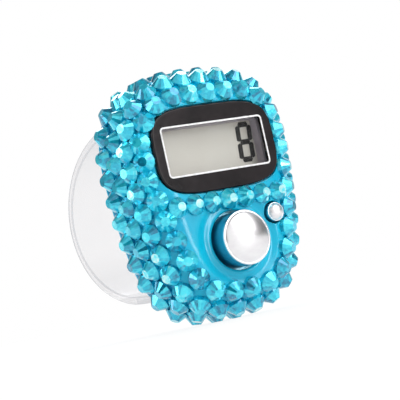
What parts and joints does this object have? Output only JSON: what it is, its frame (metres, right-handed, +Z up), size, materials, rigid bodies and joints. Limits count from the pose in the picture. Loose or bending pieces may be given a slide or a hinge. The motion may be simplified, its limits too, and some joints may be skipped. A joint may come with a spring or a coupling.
{
  "type": "finger tally counter",
  "caption": "Finger-worn digital tally counter: oval case rimmed with faceted stones, display window, chrome count and reset buttons, clear band.",
  "frame": {"origin": "middle of the finger loop, on the axis that the finger lies along", "axes": "+Z up along the case's tall side, -Y out of the display, +X to the right of a viewer who reads the display"},
  "size_m": [0.0314, 0.0404, 0.0405],
  "materials": {
    "blue_shell": "glossy",
    "blue_cover": "satin",
    "black_gloss": "glossy",
    "clear_window": "clear",
    "dark_holder": "matte",
    "lcd_glass": "glossy",
    "foil": "satin",
    "foam": "matte",
    "striped_rubber": "matte",
    "board": "satin",
    "black_resin": "satin",
    "capacitor_body": "satin",
    "resistor_body": "satin",
    "silicone": "matte",
    "chrome_cap": "polished",
    "holder_plastic": "matte",
    "cell_steel": "satin",
    "contact_brass": "satin",
    "clear_band": "clear",
    "screw_steel": "satin"
  },
  "bodies": {
    "case": {"front_housing": "blue_shell", "back_cover": "blue_cover", "display_bezel": "black_gloss", "window_lens": "clear_window", "lcd_frame": "dark_holder", "lcd_front_glass": "lcd_glass", "lcd_rear_glass": "lcd_glass", "lcd_reflector": "foil", "lcd_cushion": "foam", "contact_strip": "striped_rubber", "circuit_board": "board", "covered_chip": "black_resin", "capacitor": "capacitor_body", "resistor": "resistor_body", "count_dome": "silicone", "reset_dome": "silicone", "cell_holder": "holder_plastic", "button_cell": "cell_steel", "back_contact": "contact_brass", "front_contact": "contact_brass", "finger_band": "clear_band", "board_screw_1": "screw_steel", "board_screw_2": "screw_steel", "board_screw_3": "screw_steel", "case_screw_1": "screw_steel", "case_screw_2": "screw_steel", "case_screw_3": "screw_steel", "case_screw_4": "screw_steel"},
    "count_button": {"count_button": "chrome_cap"},
    "reset_button": {"reset_button": "chrome_cap"}
  },
  "joints": [
    {"name": "count_press", "type": "slide", "parent": "case", "child": "count_button", "axis": [0, 1, 0], "range_m": [0, 0.0008], "stiffness_N_per_m": 1000, "springref_m": -0.0003, "deforming": ["count_dome"]},
    {"name": "reset_press", "type": "slide", "parent": "case", "child": "reset_button", "axis": [0, 1, 0], "range_m": [0, 0.0006], "stiffness_N_per_m": 1000, "springref_m": -0.0003, "deforming": ["reset_dome"]}
  ]
}
